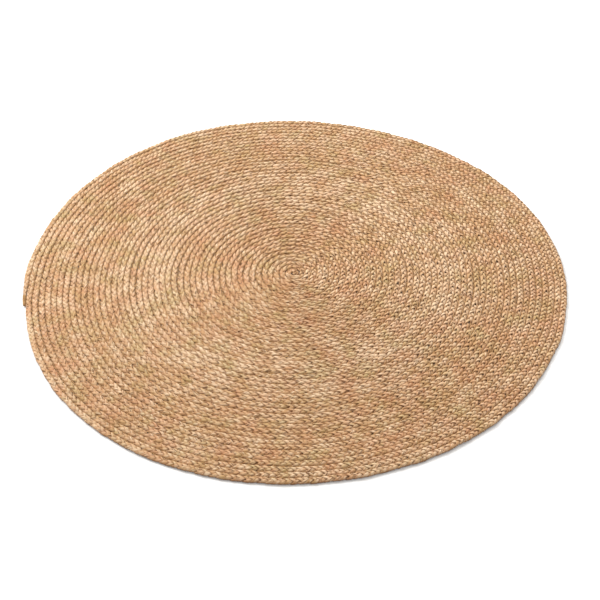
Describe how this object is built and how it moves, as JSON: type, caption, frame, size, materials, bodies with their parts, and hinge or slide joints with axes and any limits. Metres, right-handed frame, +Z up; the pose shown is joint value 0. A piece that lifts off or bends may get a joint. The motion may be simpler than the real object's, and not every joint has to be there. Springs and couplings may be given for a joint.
{
  "type": "area rug",
  "caption": "Round braided jute rug: a flat plait wound in a spiral from the middle and laced edge to edge with twine.",
  "frame": {"origin": "on the floor, under the middle of the rug's outline", "axes": "+Z up out of the tread side; X and Y lie along the floor. The plait winds anticlockwise from the middle outwards, seen from above, and its tail ends at the -X side."},
  "size_m": [1.2, 1.1934, 0.009],
  "materials": {
    "jute_plait": "matt, undyed jute in three plaited strands, golden tan with brown flecks",
    "jute_twine": "matt, undyed two-ply jute twine"
  },
  "bodies": {
    "root": {"plait_length_01": "jute_plait", "plait_length_02": "jute_plait", "plait_length_03": "jute_plait", "plait_length_04": "jute_plait", "plait_length_05": "jute_plait", "plait_length_06": "jute_plait", "plait_length_07": "jute_plait", "plait_length_08": "jute_plait", "plait_length_09": "jute_plait", "plait_length_10": "jute_plait", "plait_length_11": "jute_plait", "plait_length_12": "jute_plait", "start_knot": "jute_plait", "lacing_twine_01": "jute_twine", "lacing_twine_02": "jute_twine", "lacing_twine_03": "jute_twine", "lacing_twine_04": "jute_twine", "lacing_twine_05": "jute_twine", "lacing_twine_06": "jute_twine", "lacing_twine_07": "jute_twine", "lacing_twine_08": "jute_twine", "lacing_twine_09": "jute_twine", "lacing_twine_10": "jute_twine", "lacing_twine_11": "jute_twine", "lacing_twine_12": "jute_twine", "tail_whipping": "jute_twine"}
  },
  "joints": []
}
